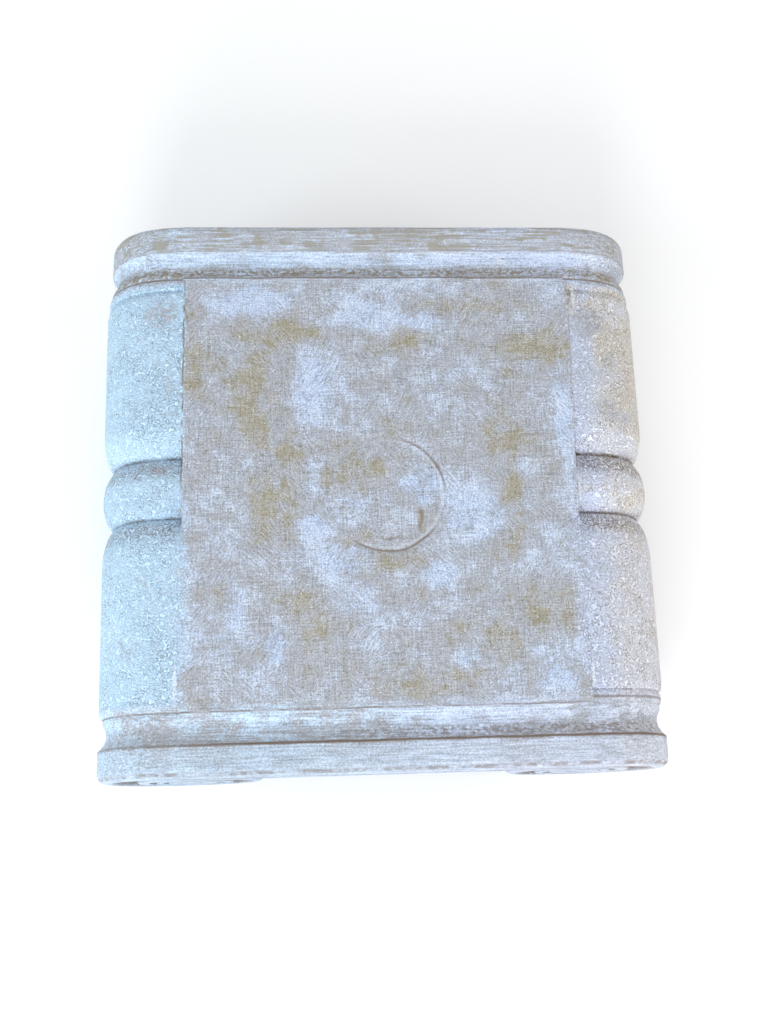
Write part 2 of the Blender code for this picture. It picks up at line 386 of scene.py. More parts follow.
def ring_points():
    """Points (x, y) of the ring's groove, with a loose grid round it, and how deep each is cut."""
    points = []
    cuts = []
    for angle in np.linspace(0.0, TAU, RING_STEPS, endpoint=False):
        across, along = math.cos(angle), math.sin(angle)
        stray = RING_WANDER * noise.noise(Vector((2.2 * across, 2.2 * along, 7.0)))
        for side, cut in ((-1.0, 0.0), (0.0, ring_cut(angle)), (1.0, 0.0)):
            radius = RING_RADIUS + stray + side * RING_WIDTH
            points.append((RING_CENTRE[0] + radius * across, RING_CENTRE[1] + radius * along))
            cuts.append(cut)
    reach = RING_RADIUS + RING_MARGIN
    for across in np.linspace(-reach, reach, 13)[1:-1]:
        for along in np.linspace(-reach, reach, 13)[1:-1]:
            if abs(math.hypot(across, along) - RING_RADIUS) > 0.004:
                points.append((RING_CENTRE[0] + across, RING_CENTRE[1] + along))
                cuts.append(0.0)
    return points, cuts


def panel_middle(grid):
    """The first and last station and the first and last column of the panel round the ring."""
    reach = RING_RADIUS + RING_MARGIN
    stations = grid[:, 0, 1]
    columns = grid[0, :PANEL_STEPS + 1, 0]
    limits = []
    for values, middle in ((stations, RING_CENTRE[1]), (columns, RING_CENTRE[0])):
        limits.append(int(np.nonzero(values < middle - reach)[0][-1]))
        limits.append(int(np.nonzero(values > middle + reach)[0][0]))
    return limits


# Turned part with its eggs


def turned_profile():
    """Radius, height and share down the egg moulding (or None) from the top to the foot."""
    collar_radius = NECK_RADIUS + ASTRAGAL_PROUD
    overhang = ECHINUS_RADIUS - collar_radius
    points = [(ECHINUS_RADIUS, SOFFIT_Z + SINK, -1.0)]
    for along, down in bulge(ECHINUS_HEIGHT, overhang, TAU / 4, 32):
        points.append((ECHINUS_RADIUS - down, SOFFIT_Z - along, along / ECHINUS_HEIGHT))
    top = SOFFIT_Z - ECHINUS_HEIGHT - COLLAR_HEIGHT
    points.append((collar_radius, top, 2.0))
    for angle in np.linspace(0.0, TAU / 2, 13)[1:-1]:
        radius = NECK_RADIUS + ASTRAGAL_PROUD * (1 + math.sin(angle))
        points.append((radius, top - ASTRAGAL_HEIGHT / 2 * (1 - math.cos(angle)), 2.0))
    points.append((NECK_RADIUS + 0.001, top - ASTRAGAL_HEIGHT, 2.0))
    for height in np.linspace(top - ASTRAGAL_HEIGHT - 0.002, 0.0, 10):
        points.append((NECK_RADIUS, height, 2.0))
    for radius in np.linspace(NECK_RADIUS, 0.0, 8)[1:-1]:
        points.append((radius, 0.0, 2.0))
    return points


def egg_relief(across, down):
    """Height of the egg, its shell and the dart, for distances from the middle of an egg."""
    pitch = TAU / EGGS_IN_CIRCLE
    arc = pitch * (ECHINUS_RADIUS - 0.012)
    half_length = (ECHINUS_HEIGHT - 2 * EGG_MARGIN) / 2
    oval = np.hypot(across / (EGG_WIDTH / 2), (down - 0.001) / (half_length + 0.001))
    egg = EGG_PROUD * np.sqrt(np.clip(1 - (oval / 0.74) ** 2, 0.0, 1.0))
    shell = 0.0052 * np.clip(1 - ((oval - 0.91) / 0.1) ** 2, 0.0, 1.0) ** 0.7
    beside = arc / 2 - np.abs(across)
    narrow = DART_WIDTH / 2 * np.clip(1.25 - 0.9 * (down / half_length + 1) / 2, 0.15, 1.0)
    dart = DART_PROUD * np.clip(1 - beside / narrow, 0.0, 1.0)
    ends = ease((half_length - np.abs(down)) / 0.004)
    return np.maximum(np.maximum(egg, shell), dart * ends)


def turned_angles():
    """Angles round the turned part: fine where the eggs show, coarse beside the rolls."""
    pitch = TAU / EGGS_IN_CIRCLE
    reach = (EGGS_BESIDE_MIDDLE + 0.5) * pitch
    fine = np.linspace(-reach, reach, round(2 * reach / pitch * EGG_STEPS) + 1)
    coarse = np.linspace(reach, TAU / 2 - reach, 22)[1:-1]
    half = np.concatenate([fine, coarse])
    return np.concatenate([half - TAU / 4, half + TAU / 4]), reach


def turned_grid():
    """Points (place down, place round, xyz) of the turned part, and how hollow it is there."""
    angles, reach = turned_angles()
    pitch = TAU / EGGS_IN_CIRCLE
    profile = turned_profile()
    outline = np.array([(radius, height) for radius, height, _ in profile])
    run = np.gradient(outline, axis=0)
    normal = np.stack([-run[:, 1], run[:, 0]], axis=1)
    normal /= np.linalg.norm(normal, axis=1)[:, None]
    side = (angles + TAU / 4 + TAU / 4) % (TAU / 2) - TAU / 4
    place = (side + pitch / 2) % pitch - pitch / 2
    shown = np.abs(side) <= reach + 1e-6
    grid = []
    hollows = []
    for (radius, height, share), (out, up) in zip(profile, normal):
        relief = np.zeros_like(angles)
        hollow = np.zeros_like(angles)
        if 0.0 <= share <= 1.0:
            down = np.full_like(angles, (0.5 - share) * ECHINUS_HEIGHT)
            relief = egg_relief(place * radius, down) * shown
            hollow = (1 - ease(relief / 0.004)) * shown
        ring = radius + out * relief
        rise = np.maximum(height + up * relief, 0.0)
        grid.append(np.stack([ring * np.cos(angles), ring * np.sin(angles), rise], axis=1))
        hollows.append(hollow)
    return np.array(grid), np.array(hollows)


# One mesh


class Shell:
    """Points and faces that are gathered into one mesh."""

    def __init__(self):
        self.points = []
        self.faces = []
        self.scroll = []
        self.turned = []
        self.hollow = []

    def add_points(self, points, scroll=0.0, turned=0.0, hollow=0.0):
        """Points with their shares of scroll, turned part and hollow; returns the first's index."""
        start = len(self.points)
        self.points += [tuple(point) for point in points]
        for kept, value in ((self.scroll, scroll), (self.turned, turned), (self.hollow, hollow)):
            kept += list(np.broadcast_to(value, len(points)))
        return start

    def add_grid(self, grid, scroll=0.0, turned=0.0, hollow=0.0, gap=(0, 0, 0, 0)):
        """Faces between the rings of a grid that is closed round its second axis.

        The gap is a first and last ring and a first and last place that stay open.
        """
        rings, count = grid.shape[:2]
        start = self.add_points(grid.reshape(-1, 3), scroll, turned, hollow)
        for ring in range(rings - 1):
            for place in range(count):
                if gap[0] <= ring < gap[1] and gap[2] <= place < gap[3]:
                    continue
                after = (place + 1) % count
                low = start + ring * count
                high = low + count
                self.faces.append((low + place, low + after, high + after, high + place))
        return start


def build_panel_middle(shell, grid, start, gap):
    """Fill the gap in the panel with finer faces that hold the ring's groove."""
    near, far, left, right = gap
    border = [(near, place) for place in range(left, right)]
    border += [(ring, right) for ring in range(near, far)]
    border += [(far, place) for place in range(right, left, -1)]
    border += [(ring, left) for ring in range(far, near, -1)]
    points, cuts = ring_points()
    inner, triangles = fill([tuple(grid[ring, place, :2]) for ring, place in border], points)
    cuts = np.array(cuts + [0.0] * (len(inner) - len(cuts)))
    heights = HEIGHT - RING_DEPTH * cuts
    inner_start = shell.add_points(np.column_stack([inner, heights]), hollow=cuts)
    index = [start + ring * grid.shape[1] + place for ring, place in border]
    index += range(inner_start, inner_start + len(inner))
    for triangle in triangles:
        shell.faces.append([index[corner] for corner in triangle])


def build_block(shell):
    """The block: rings from the near to the far face, the panel's middle and both faces."""
    half = half_profile()
    stations = [(-along, top, roll) for along, top, roll in reversed(half)] + half[1:]
    grid = np.array([block_ring(*station) for station in stations])
    count = grid.shape[1]
    scroll = np.ones(count)
    scroll[:PANEL_STEPS + 1] = 0.0
    gap = panel_middle(grid)
    start = shell.add_grid(grid, scroll=np.tile(scroll, len(stations)), gap=gap)
    build_panel_middle(shell, grid, start, gap)
    inner, triangles = fill(grid[0][:, [0, 2]], face_points())
    depth = channel_depth(inner[:, 0], inner[:, 1])
    for y, inward, ring_start in (
        (-DEPTH / 2, 1.0, start),
        (DEPTH / 2, -1.0, start + (len(stations) - 1) * count),
    ):
        flat = pinched(inner, y)
        points = np.stack([flat[:, 0], y + inward * depth, flat[:, 1]], axis=1)
        share = depth / CHANNEL_DEPTH
        inner_start = shell.add_points(points, scroll=1.0, hollow=4 * share * (1 - share))
        for triangle in triangles:
            corners = [ring_start + c if c < count else inner_start + c - count for c in triangle]
            shell.faces.append(corners if inward > 0 else corners[::-1])


def build_turned(shell):
    """The egg moulding and the neck, turned round so that their faces look outwards."""
    grid, hollow = turned_grid()
    grid, hollow = grid[:, ::-1], hollow[:, ::-1]
    start = shell.add_grid(grid, turned=1.0, hollow=hollow.reshape(-1))
    count = grid.shape[1]
    for ring, height in ((0, SOFFIT_Z + SINK), (len(grid) - 1, 0.0)):
        middle = shell.add_points([(0.0, 0.0, height)], turned=1.0)
        low = start + ring * count
        for place in range(count):
            corners = (low + place, low + (place + 1) % count, middle)
            shell.faces.append(corners if ring else corners[::-1])


def wobble(points, wave, seed):
    """Smooth random value from -1 to 1 at each point, with waves of that length."""
    shift = Vector((seed * 7.3, seed * 3.1, seed * 5.7))
    return np.array([noise.noise(Vector(point) / wave + shift) for point in points])


def weather(mesh):
    """Push the surface in a little, unevenly, except at the foot."""
    count = len(mesh.vertices)
    points = np.empty(count * 3)
    normals = np.empty(count * 3)
    mesh.vertices.foreach_get("co", points)
    mesh.vertex_normals.foreach_get("vector", normals)
    points = points.reshape(-1, 3)
    normals = normals.reshape(-1, 3)
    waves = wobble(points, WEAR_WAVES[0], 1) + 0.6 * wobble(points, WEAR_WAVES[1], 2)
    amount = WEAR * (0.5 + 0.5 * np.clip(waves, -1, 1))
    amount *= np.clip(points[:, 2] / WEAR_START, 0.0, 1.0)
    points = points - normals * amount[:, None]
    mesh.vertices.foreach_set("co", points.reshape(-1))
    mesh.update()


def store(mesh, name, values):
    """Keep one number per point, for the material to read."""
    attribute = mesh.attributes.new(name, "FLOAT", "POINT")
    attribute.data.foreach_set("value", np.asarray(values, dtype=np.float32))


def make_surface():
    """The finished surface as one object, with its numbers for the material."""
    shell = Shell()
    build_block(shell)
    build_turned(shell)
    mesh = bpy.data.meshes.new("capital_surface")
    mesh.from_pydata(shell.points, [], shell.faces)
    mesh.update()
    weather(mesh)
    store(mesh, "scroll", shell.scroll)
    store(mesh, "turned", shell.turned)
    store(mesh, "hollow", shell.hollow)
    mesh.shade_smooth()
    mesh.set_sharp_from_angle(angle=math.radians(50))
    surface = bpy.data.objects.new("capital_surface", mesh)
    bpy.context.scene.collection.objects.link(surface)
    return surface


# Material


def linear(red, green, blue):
    """Colour for a socket, from the 0 to 255 values of a screen."""
    parts = []
    for part in (red, green, blue):
        part /= 255
        parts.append(part / 12.92 if part < 0.04045 else ((part + 0.055) / 1.055) ** 2.4)
    return (*parts, 1.0)


TAN = linear(176, 171, 160)
OLIVE = linear(166, 160, 143)
GREY_WASH = linear(176, 179, 187)
BLUE_WASH = linear(181, 199, 229)
WHITE_WASH = linear(204, 216, 236)
# The rolls' cool, warm and cream washes also carry painted light: cyan from the left and warm from the
# right.
COOL_WASH = linear(196, 224, 247)
PALE_WASH = linear(206, 215, 238)
WARM_WASH = linear(221, 222, 230)
CREAM_WASH = linear(213, 206, 192)
BROWN = linear(120, 99, 80)
EDGE_BROWN = linear(140, 118, 92)
STREAK = linear(160, 153, 138)
ROLL_DIRT_AND_SHADE = linear(134, 122, 112)
COVE_DIRT_AND_SHADE = linear(140, 126, 98)
SPECK_AND_HIGHLIGHT = linear(232, 239, 250)

# Fineness of the noises, in waves per metre
LARGE_WAVES = 13.0
STAIN_WAVES = 20.0
CHOICE_WAVES = 30.0
BENT_WAVES = 38.0
MIDDLE_WAVES = 48.0
SPECK_GROUP_WAVES = 50.0
MOVED_WAVES = 70.0
TORN_WAVES = 130.0
SMALL_WAVES = 170.0
CLOT_WAVES = 300.0
PEBBLE_WAVES = 340.0
GRAIN_WAVES = 680.0
SPECK_WAVES = 800.0

# Patches on the top: x, y, half width, half depth. Here the wash is worn to the plaster.
WORN_PATCHES = (
    (0.135, -0.109, 0.024, 0.027),
    (-0.156, 0.107, 0.011, 0.037),
    (-0.097, -0.013, 0.014, 0.037),
    (-0.100, 0.072, 0.021, 0.043),
    (-0.073, 0.007, 0.011, 0.052),
    (0.144, 0.119, 0.033, 0.016),
    (0.099, 0.039, 0.028, 0.016),
    (0.106, -0.016, 0.008, 0.046),
    (0.040, -0.161, 0.047, 0.014),
    (0.093, -0.131, 0.018, 0.019),
    (0.067, 0.153, 0.051, 0.008),
    (-0.089, 0.131, 0.052, 0.010),
    (-0.059, -0.104, 0.019, 0.027),
    (-0.024, 0.003, 0.013, 0.020),
    (0.030, -0.033, 0.003, 0.013),
    (0.000, -0.064, 0.024, 0.010),
    (0.019, 0.124, 0.022, 0.013),
    (-0.006, 0.008, 0.009, 0.012),
    (-0.045, 0.006, 0.008, 0.008),
    (-0.026, -0.045, 0.013, 0.008),
)
# Here the wash is thick.
THICK_PATCHES = (
    (-0.107, 0.159, 0.035, 0.014),
    (0.010, 0.144, 0.049, 0.016),
    (0.155, 0.052, 0.008, 0.061),
    (-0.024, -0.014, 0.011, 0.010),
    (-0.056, -0.036, 0.012, 0.012),
    (0.031, -0.003, 0.021, 0.015),
    (-0.055, 0.078, 0.015, 0.030),
    (-0.118, -0.096, 0.009, 0.021),
    (-0.087, -0.131, 0.009, 0.016),
    (0.065, -0.144, 0.013, 0.009),
    (0.076, -0.028, 0.028, 0.028),
    (0.044, -0.075, 0.016, 0.013),
    (-0.032, -0.064, 0.024, 0.011),
    (0.135, -0.163, 0.014, 0.009),
)
# Here the rolls are stained.
ROLL_STAINS = (
    (-0.182, 0.148, 0.020, 0.016),
    (-0.174, 0.075, 0.007, 0.030),
    (-0.185, 0.014, 0.016, 0.008),
    (-0.226, 0.090, 0.006, 0.050),
    (0.184, 0.143, 0.018, 0.016),
    (0.205, 0.105, 0.014, 0.020),
    (0.200, 0.060, 0.020, 0.012),
    (0.214, -0.020, 0.012, 0.020),
)
# Brown scars at the panel's edge and inside the ring
SCARS = (
    (0.1655, 0.163, 0.0018, 0.009),
    (-0.1600, 0.152, 0.0014, 0.012),
    (0.1610, -0.008, 0.0014, 0.010),
    (0.0298, -0.0318, 0.0020, 0.010),
    (0.0040, -0.0460, 0.0100, 0.0014),
)
# White marks at the panel's edge
EDGE_WHITE_MARKS = (
    (-0.1655, -0.160, 0.0016, 0.014),
    (0.1690, 0.163, 0.0014, 0.010),
    (0.1625, -0.160, 0.0014, 0.012),
    (0.1625, -0.010, 0.0014, 0.014),
)
PATCH_SPREAD = 1.25         # distances from a patch's middle count in this share of its size
PATCH_REACH_Z = 0.012       # and this height
PATCH_FULL = 0.35           # a patch is full up to here
PATCH_END = 1.15            # and gone from here on


class Nodes:
    """Short way to write a tree of shader nodes."""

    def __init__(self, name):
        self.material = bpy.data.materials.new(name)
        self.material.use_nodes = True
        self.tree = self.material.node_tree
        self.shader = self.tree.nodes["Principled BSDF"]

    def plug(self, socket, value):
        """Link a socket to another node, or set it to a plain number or colour."""
        if isinstance(value, bpy.types.NodeSocket):
            self.tree.links.new(value, socket)
        else:
            socket.default_value = value

    def add(self, kind, inputs=(), **settings):
        """Node with these settings, and inputs from pairs of a name or number and a value."""
        node = self.tree.nodes.new(kind)
        for name, value in settings.items():
            setattr(node, name, value)
        for key, value in inputs:
            self.plug(node.inputs[key], value)
        return node

    def math(self, operation, *values):
        return self.add("ShaderNodeMath", enumerate(values), operation=operation).outputs[0]

    def vector_math(self, operation, *values):
        return self.add("ShaderNodeVectorMath", enumerate(values), operation=operation).outputs

    def plus(self, *terms):
        """Sum of plain numbers, node outputs and (factor, node output) pairs."""
        total = 0.0
        for term in terms:
            if isinstance(term, tuple):
                total = self.math("MULTIPLY_ADD", term[1], term[0], total)
            else:
                total = self.math("ADD", term, total)
        return total

    def times(self, *factors):
        total = factors[0]
        for factor in factors[1:]:
            total = self.math("MULTIPLY", total, factor)
        return total

    def most(self, *values):
        total = values[0]
        for value in values[1:]:
            total = self.math("MAXIMUM", total, value)
        return total

    def size(self, value):
        return self.math("ABSOLUTE", value)

    def other(self, share):
        """What is left of 1."""
        return self.math("SUBTRACT", 1.0, share)

    def ramp(self, value, low, high, start=0.0, end=1.0):
        """Smooth step from start to end while the value runs from low to high."""
        inputs = enumerate((value, low, high, start, end))
        return self.add("ShaderNodeMapRange", inputs, interpolation_type="SMOOTHSTEP").outputs[0]

    def stripe(self, value, middle, half_width):
        """1 where the value is at the middle, down to 0 at that distance from it."""
        away = self.size(self.plus(-middle, value))
        return self.ramp(away, half_width, half_width * 0.25)

    def blend(self, data_type, share, first, second):
        inputs = (("Factor", share), ("A", first), ("B", second))
        return self.add("ShaderNodeMix", inputs, data_type=data_type).outputs["Result"]

    def mix(self, share, first, second):
        return self.blend("RGBA", share, first, second)

    def mix_value(self, share, first, second):
        return self.blend("FLOAT", share, first, second)

    def shade(self, colour, factor):
        """The colour made darker or lighter by a factor."""
        inputs = ((0, colour), ("Scale", factor))
        return self.add("ShaderNodeVectorMath", inputs, operation="SCALE").outputs[0]

    def plus_vector(self, vector, shift):
        return self.vector_math("ADD", vector, shift)[0]

    def length(self, vector):
        return self.vector_math("LENGTH", vector)["Value"]

    def scaled(self, vector, sizes, turn=0.0, middle=(0.0, 0.0, 0.0)):
        """The vector from the middle, turned about Z and divided by the sizes."""
        inputs = (
            ("Vector", vector),
            ("Location", middle),
            ("Rotation", (0.0, 0.0, turn)),
            ("Scale", sizes),
        )
        return self.add("ShaderNodeMapping", inputs, vector_type="TEXTURE").outputs[0]

    def noise_outputs(self, vector, waves, detail, roughness):
        inputs = (("Vector", vector), ("Scale", waves), ("Detail", detail), ("Roughness", roughness))
        return self.add("ShaderNodeTexNoise", inputs).outputs

    def noise(self, vector, waves, detail=2.0, roughness=0.5):
        """Noise from -0.5 to 0.5, with about that many waves per unit of the vector."""
        return self.plus(-0.5, self.noise_outputs(vector, waves, detail, roughness)["Fac"])

    def strokes(self, vector, length, width, turn=0.0):
        """Noise drawn out along X, turned about Z, like the marks of a brush."""
        return self.noise(self.scaled(vector, (length, width, width), turn), 1.0, 2.0, 0.6)

    def shifted(self, vector, waves, detail, amount):
        """The vector moved about by up to half the amount to each side."""
        away = self.noise_outputs(vector, waves, detail, 0.5)["Color"]
        moved = self.vector_math("MULTIPLY_ADD", away, (amount, amount, 0.0), vector)[0]
        return self.plus_vector(moved, (-amount / 2, -amount / 2, 0.0))

    def patches(self, vector, places):
        """1 in the middle of each soft round patch on the top, 0 outside them."""
        total = 0.0
        for x, y, half_width, half_depth in places:
            sizes = (half_width * PATCH_SPREAD, half_depth * PATCH_SPREAD, PATCH_REACH_Z)
            away = self.length(self.scaled(vector, sizes, 0.0, (x, y, HEIGHT)))
            total = self.most(self.ramp(away, PATCH_END, PATCH_FULL), total)
        return total

    def attribute(self, name):
        return self.add("ShaderNodeAttribute", attribute_name=name).outputs["Fac"]


class Limewash(Nodes):
    """Pale blue limewash, brushed and worn through to tan plaster, brown in the hollows, with painted
    light and shade.

    Each method that takes a colour adds one layer to it. What several layers share is kept on the
    object. Places are in metres on the object's own axes.
    """

    def __init__(self):
        super().__init__("worn_limewash")
        self.find_place()
        self.make_noises()
        self.make_zones()
        self.make_brush()
        cover = self.make_cover()
        speckled = self.make_specks()
        colour = self.paint(cover)
        colour = self.mix(self.times(speckled, 0.85), colour, SPECK_AND_HIGHLIGHT)
        colour = self.shade_rolls(colour)
        colour = self.shade_brushed(colour)
        colour = self.dirty_and_shaded_mouldings(colour)
        colour = self.draw_panel_edge(colour)
        colour = self.draw_marks(colour)
        self.plug(self.shader.inputs["Base Color"], colour)
        self.plug(self.shader.inputs["Roughness"], self.ramp(cover, 0.0, 1.1, 0.93, 0.62))
        self.shader.inputs["Specular IOR Level"].default_value = 0.3
        self.raise_relief(speckled)

    def find_place(self):
        """The point on the object, and the numbers that are stored on the mesh."""
        self.place = self.add("ShaderNodeTexCoord").outputs["Object"]
        self.x, self.y, self.z = self.add("ShaderNodeSeparateXYZ", ((0, self.place),)).outputs
        self.scroll = self.attribute("scroll")
        self.hollow = self.attribute("hollow")
        self.on_block = self.other(self.attribute("turned"))

    def make_noises(self):
        place = self.place
        self.large = self.noise(place, LARGE_WAVES, 2.0)
        self.middle = self.noise(place, MIDDLE_WAVES, 4.0, 0.62)
        self.small = self.noise(place, SMALL_WAVES, 3.0, 0.6)
        self.grain = self.noise(place, GRAIN_WAVES, 2.0, 0.7)
        self.pebble = self.noise(place, PEBBLE_WAVES, 2.0, 0.55)
        self.small_grain = self.plus(self.small, self.grain)
        self.patchy_middle = self.plus(self.middle, self.small)
        self.moved = self.shifted(place, MOVED_WAVES, 3.0, 0.020)

    def make_zones(self):
        """Where the rims, the rolls, the near rim's flat band and the sides that face the front are."""
        x, y = self.x, self.y
        self.rim = self.ramp(self.size(y), BEAD_START + 0.002, BEAD_START + 0.009)
        self.near_band = self.ramp(y, -RIM_START - 0.001, -RIM_START - 0.004)
        far_lit = self.stripe(y, RIM_START - 0.006, 0.009)
        near_lit = self.stripe(y, -COVE_START - 0.006, 0.010)
        self.front_facing = self.most(far_lit, near_lit)

        skewed = self.size(self.plus(x, (-PANEL_SKEW, y)))
        softness = self.ramp(y, 0.005, -0.045, 0.0015, 0.012)
        border = self.plus(skewed, (0.9, self.times(softness, self.patchy_middle)), (0.15, softness))
        start = self.plus(PANEL_WIDTH / 2, (-1.0, softness))
        beside = self.ramp(border, start, self.plus(PANEL_WIDTH / 2, softness))
        below = self.ramp(self.z, HEIGHT - 0.004, HEIGHT - 0.008)
        beside = self.most(beside, self.times(self.scroll, below))
        self.is_roll = self.times(beside, self.other(self.rim))

    def make_brush(self):
        """Brush marks: woven in places, slantwise in others, and lengthwise on the rims."""
        self.along = self.strokes(self.place, 0.013, 0.0010)
        across = self.strokes(self.place, 0.013, 0.0010, TAU / 4)
        slant = self.strokes(self.place, 0.007, 0.0012, math.radians(58))
        other_slant = self.strokes(self.place, 0.008, 0.0012, math.radians(-48))
        choice = self.noise(self.plus_vector(self.place, (4.0, 1.0, 2.0)), CHOICE_WAVES, 3.0)
        woven = self.plus((0.75, self.along), (0.75, across))
        brushed = self.mix_value(self.ramp(choice, -0.13, -0.05), slant, woven)
        brushed = self.mix_value(self.ramp(choice, 0.05, 0.12), brushed, other_slant)
        self.brushed = self.mix_value(self.rim, brushed, self.strokes(self.place, 0.030, 0.0014))

    def make_cover(self):
        """How much of the wash is left: 0 is bare plaster and 1 is thick paint."""
        middle, small, grain = self.middle, self.small, self.grain
        worn = self.patches(self.moved, WORN_PATCHES)
        thick = self.patches(self.moved, THICK_PATCHES)
        cover = self.plus(0.54, (0.9, self.large), (1.4, middle), (-0.36, worn), (0.33, thick))
        cover = self.plus(cover, (0.5, self.brushed), (0.25, grain), (0.6, small))
        # More wash on the hollows' sides that face the front: partly thicker wash and partly painted
        # light on those sides.
        cover = self.plus(cover, (self.ramp(self.y, -0.1, 0.1, 0.10, 0.22), self.front_facing))
        uneven = self.plus((1.1, middle), (1.3, self.large), (0.8, small))
        broken = self.ramp(self.plus(self.pebble, grain, small), -0.14, 0.10)
        stains = self.times(self.patches(self.moved, ROLL_STAINS), broken)
        roll_cover = self.plus(self.ramp(self.x, -0.1, 0.1, 1.18, 1.02), (0.4, grain), uneven)
        roll_cover = self.plus(roll_cover, (-0.62, stains))
        cover = self.mix_value(self.is_roll, cover, roll_cover)
        cover = self.plus(cover, (0.12, self.rim))
        return self.mix_value(self.times(self.near_band, 0.6), cover, 0.80)

    def make_specks(self):
        """Fine pale specks, in loose groups."""
        specks = self.ramp(self.noise(self.place, SPECK_WAVES, 1.0), 0.12, 0.19)
        groups = self.ramp(self.noise(self.place, SPECK_GROUP_WAVES, 3.0), -0.12, 0.08)
        return self.times(specks, groups)

    def paint(self, cover):
        """Plaster, thin grey wash and full wash, by how much is left, with painted light tinting the
        rolls' wash.
        """
        x, y, middle = self.x, self.y, self.middle
        plaster = self.ramp(self.plus(self.small, (0.7, middle)), -0.16, 0.18)
        plaster = self.mix(plaster, OLIVE, TAN)
        wash = self.ramp(self.plus(middle, (0.6, self.grain)), -0.22, 0.24)
        wash = self.mix(wash, BLUE_WASH, WHITE_WASH)
        # Cream on the right rolls' outer sides and about the belt, their warmer outer side and the cool
        # wash of the left rolls are partly the wash's own tone and partly painted light: cyan from the
        # left, warm from the right.
        stain_and_warm_light = self.noise(self.plus_vector(self.place, (9.0, 5.0, 1.0)), STAIN_WAVES, 3.0)
        stain_and_warm_light = self.plus(stain_and_warm_light, (0.5, middle), self.ramp(x, 0.175, 0.222, -0.09, 0.16))
        stain_and_warm_light = self.plus(stain_and_warm_light, self.ramp(y, -0.04, 0.03, -0.09, 0.05))
        stain_and_warm_light = self.plus(stain_and_warm_light, (0.10, self.stripe(y, 0.0, 0.030)))
        stained_and_warm_lit = self.times(self.ramp(stain_and_warm_light, -0.02, 0.20), 0.8)
        pale = self.ramp(self.plus(x, (0.06, middle)), 0.164, 0.196)
        pale = self.mix(pale, PALE_WASH, WARM_WASH)
        warm = self.mix(stained_and_warm_lit, pale, CREAM_WASH)
        roll_wash_and_tinted_light = self.mix(self.ramp(x, -0.12, 0.14), COOL_WASH, warm)
        lighter = self.times(self.rim, self.ramp(y, -0.1, 0.1, 0.65, 0.3))
        wash = self.mix(self.most(self.is_roll, lighter), wash, roll_wash_and_tinted_light)
        colour = self.mix(self.ramp(cover, 0.0, 0.46), plaster, GREY_WASH)
        return self.mix(self.ramp(cover, 0.44, 0.98), colour, wash)

    def shade_rolls(self, colour):
        """Painted light and shade of the rolls' pebbled skin and by the belt, and the grime in its dark
        lines.
        """
        x, y = self.x, self.y
        # Dark lines between the pebbles: brown grime, and painted shade of their relief.
        line = self.ramp(self.plus(self.size(self.pebble), (0.25, self.grain)), 0.075, -0.01)
        fade = self.ramp(self.plus(self.middle, (0.5, self.large), (0.9, self.small)), -0.28, 0.16)
        dirt_and_shade = self.times(line, fade, self.is_roll)
        # Painted highlights on the sides beside the belt that face the front, though the belt's front
        # is darker at the left, and painted shade on the sides that face the back.
        painted_belt_front_light = self.times(self.stripe(y, -0.014, 0.012), self.ramp(x, -0.1, 0.1, -0.75, 1.0))
        painted_highlights_by_belt = self.plus(self.stripe(y, 0.036, 0.016), painted_belt_front_light)
        painted_shade_by_belt = self.most(self.stripe(y, 0.016, 0.014), self.stripe(y, -0.036, 0.016))
        # Painted light on the rolls, with painted shade of the pebbles' relief, a little darker at the
        # left.
        light = self.plus(0.09, (0.68, self.plus(self.pebble, self.grain)))
        light = self.plus(light, (0.11, painted_highlights_by_belt), (-0.10, painted_shade_by_belt))
        light = self.plus(light, self.ramp(x, -0.1, 0.1, -0.035, 0.0))
        light = self.times(self.is_roll, light)
        colour = self.shade(colour, self.plus(1.0, (-0.48, dirt_and_shade), light))
        return self.mix(self.times(dirt_and_shade, self.ramp(x, -0.1, 0.12, 0.15, 0.45)), colour, ROLL_DIRT_AND_SHADE)

    def shade_brushed(self, colour):
        """Light and dark of the brush marks on the panel and the rims, partly their tone and partly
        painted shade of their relief, and painted light on the rims.
        """
        x, y = self.x, self.y
        strokes = self.plus((1.05, self.brushed), (1.35, self.grain))
        strokes = self.times(self.other(self.is_roll), strokes)
        # Painted light: the near band lighter at the right and darker at the left, the far rim lighter,
        # and the near hollow's slope that faces the back, which lies in shade, lighter.
        painted_band_light = self.times(self.near_band, self.ramp(x, -0.1, 0.2, -0.02, 0.08))
        painted_band_light = self.plus(painted_band_light, (0.11, self.ramp(y, 0.200, 0.206)))
        painted_band_light = self.plus(painted_band_light, (0.09, self.stripe(y, -RIM_START + 0.006, 0.008)))
        return self.shade(colour, self.plus(0.947, strokes, painted_band_light))

    def dirty_and_shaded_mouldings(self, colour):
        """Brown in the creases, hollows and grooves, partly grime and partly painted shade on the
        creases and on the slopes that face the back, and streaks where the rims are worn.
        """
        x, y, middle, small, grain = self.x, self.y, self.middle, self.small, self.grain
        bent = self.plus(y, (0.0014, self.noise(self.place, BENT_WAVES, 3.0)))
        patchy = self.ramp(self.patchy_middle, -0.30, 0.10)

